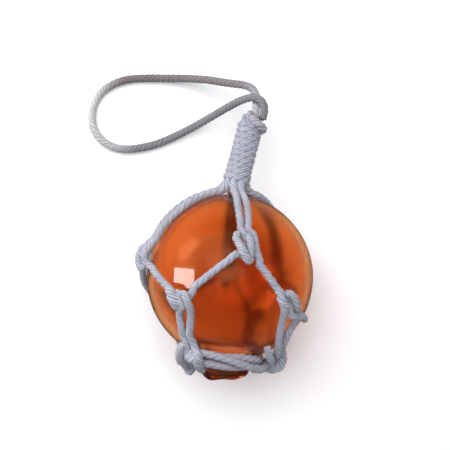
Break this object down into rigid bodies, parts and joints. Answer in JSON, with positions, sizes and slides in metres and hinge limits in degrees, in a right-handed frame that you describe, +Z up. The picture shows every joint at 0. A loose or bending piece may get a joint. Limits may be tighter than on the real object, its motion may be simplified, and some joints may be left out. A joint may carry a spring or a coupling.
{
  "type": "glass float ball",
  "caption": "Decorative blown glass float lying on its side in a knotted net of cotton cord, with a bound neck and a long hanging loop.",
  "frame": {"origin": "middle of the small flat under the lowest knot of the net, on the surface the float lies on, straight below the centre of the ball", "axes": "+Z up from the surface, +Y along the net from the seal button and the ring at its bottom towards the bound neck, +X to the right seen from above with the neck away from the viewer"},
  "size_m": [0.1119, 0.1427, 0.0876],
  "materials": {
    "glass": "clear blown glass of a deep amber orange, smooth and glossy, with faint waves and a darker seal button",
    "net_cord": "soft twisted cotton cord, off-white with a cool grey cast, matt and a little fuzzy",
    "loop_cord": "smoother, tightly laid cotton cord, greyer and a little yellowed from handling"
  },
  "bodies": {
    "root": {"glass_ball": "glass", "net_pair_upper_front": "net_cord", "net_pair_upper_right": "net_cord", "net_pair_upper_under": "net_cord", "net_pair_upper_left": "net_cord", "net_knot_upper_front": "net_cord", "net_knot_upper_right": "net_cord", "net_knot_upper_under": "net_cord", "net_knot_upper_left": "net_cord", "net_cord_right_front_from_left": "net_cord", "net_cord_right_front_from_right": "net_cord", "net_cord_right_back_from_left": "net_cord", "net_cord_right_back_from_right": "net_cord", "net_cord_left_back_from_left": "net_cord", "net_cord_left_back_from_right": "net_cord", "net_cord_left_front_from_left": "net_cord", "net_cord_left_front_from_right": "net_cord", "net_knot_middle_right_front": "net_cord", "net_knot_middle_right_back": "net_cord", "net_knot_middle_left_back": "net_cord", "net_knot_middle_left_front": "net_cord", "net_pair_lower_right_front": "net_cord", "net_pair_lower_right_back": "net_cord", "net_pair_lower_left_back": "net_cord", "net_pair_lower_left_front": "net_cord", "net_knot_ring_right_front": "net_cord", "net_knot_ring_right_back": "net_cord", "net_knot_ring_left_back": "net_cord", "net_knot_ring_left_front": "net_cord", "net_ring_after_right_front": "net_cord", "net_ring_after_right_back": "net_cord", "net_ring_after_left_back": "net_cord", "net_ring_after_left_front": "net_cord", "bound_neck": "net_cord", "hanging_loop": "loop_cord"}
  },
  "joints": []
}
